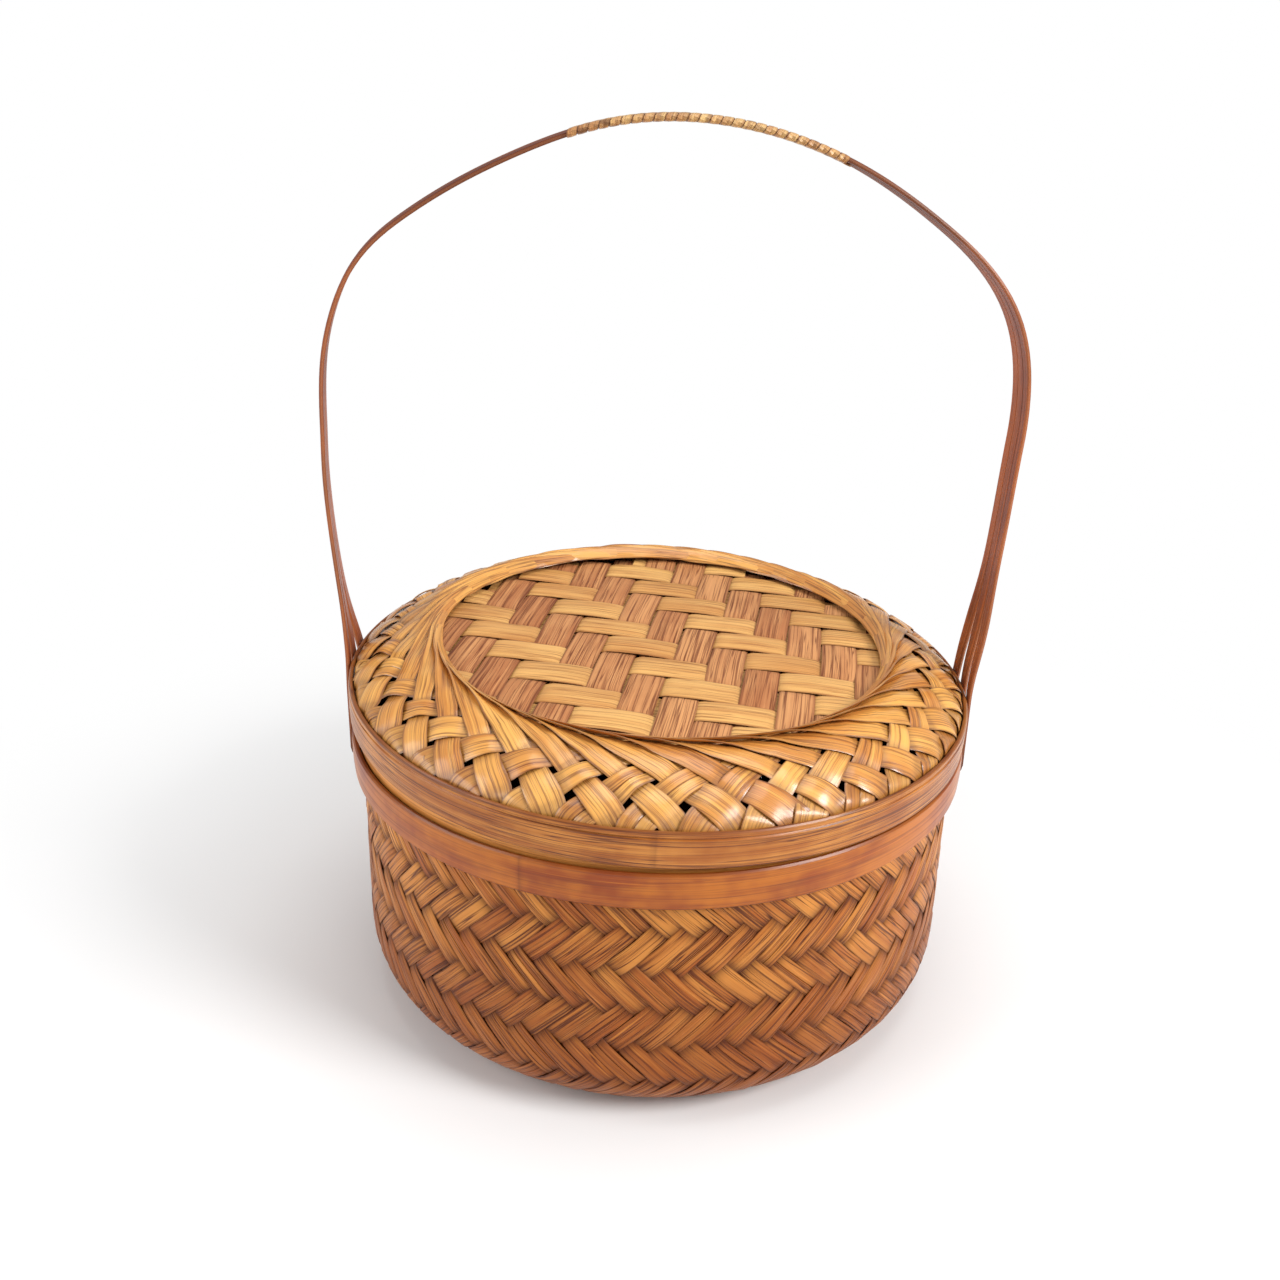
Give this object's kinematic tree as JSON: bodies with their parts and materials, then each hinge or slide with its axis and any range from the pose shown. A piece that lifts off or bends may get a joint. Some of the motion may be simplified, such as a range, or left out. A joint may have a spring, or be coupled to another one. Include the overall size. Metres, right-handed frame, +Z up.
{
  "type": "lidded bamboo basket",
  "caption": "Round woven bamboo basket with a flat base, a bound rim, a lift-off woven lid with a twill centre and swirled ring, and a tall fixed bail handle of split strips bound with cane.",
  "frame": {"origin": "centre of the flat woven base, on the surface that the basket stands on", "axes": "+Z up through the lid and the crown of the handle, +X to the right-hand foot of the handle, -Y to the front"},
  "size_m": [0.2676, 0.2522, 0.3438],
  "materials": {
    "body_weave": "split bamboo, satin, mid brown",
    "rim_band": "smooth bamboo skin, glossy orange brown",
    "pale_splint": "split bamboo, satin, pale",
    "dark_splint": "smooth bamboo skin, dark reddish brown",
    "lid_hoop": "split bamboo, satin, tan with fine dark lines",
    "ring_weave": "split bamboo, satin, golden tan",
    "warp_splint": "split bamboo, matt, pinkish brown with dark lines",
    "weft_splint": "split bamboo, satin, golden",
    "handle_splint": "smooth bamboo skin, dark red brown, glossy",
    "cane": "split cane, satin, pale yellow"
  },
  "bodies": {
    "basket": {"woven_body": "body_weave", "rim_band": "rim_band", "rim_filler": "pale_splint", "inner_collar": "dark_splint", "handle_strip_front": "handle_splint", "handle_strip_middle": "handle_splint", "handle_strip_rear": "handle_splint", "handle_binding": "cane"},
    "lid": {"lid_hoop": "lid_hoop", "lid_inner_hoop": "pale_splint", "lid_shoulder": "ring_weave", "lid_warp_01": "warp_splint", "lid_warp_02": "warp_splint", "lid_warp_03": "warp_splint", "lid_warp_04": "warp_splint", "lid_warp_05": "warp_splint", "lid_warp_06": "warp_splint", "lid_warp_07": "warp_splint", "lid_warp_08": "warp_splint", "lid_warp_09": "warp_splint", "lid_warp_10": "warp_splint", "lid_warp_11": "warp_splint", "lid_warp_12": "warp_splint", "lid_warp_13": "warp_splint", "lid_weft_01": "weft_splint", "lid_weft_02": "weft_splint", "lid_weft_03": "weft_splint", "lid_weft_04": "weft_splint", "lid_weft_05": "weft_splint", "lid_weft_06": "weft_splint", "lid_weft_07": "weft_splint", "lid_weft_08": "weft_splint", "lid_weft_09": "weft_splint", "lid_weft_10": "weft_splint", "lid_weft_11": "weft_splint", "lid_weft_12": "weft_splint"}
  },
  "joints": [
    {"name": "lid_lift", "type": "slide", "parent": "basket", "child": "lid", "axis": [0, 0, 1], "range_m": [0, 0.12]}
  ]
}
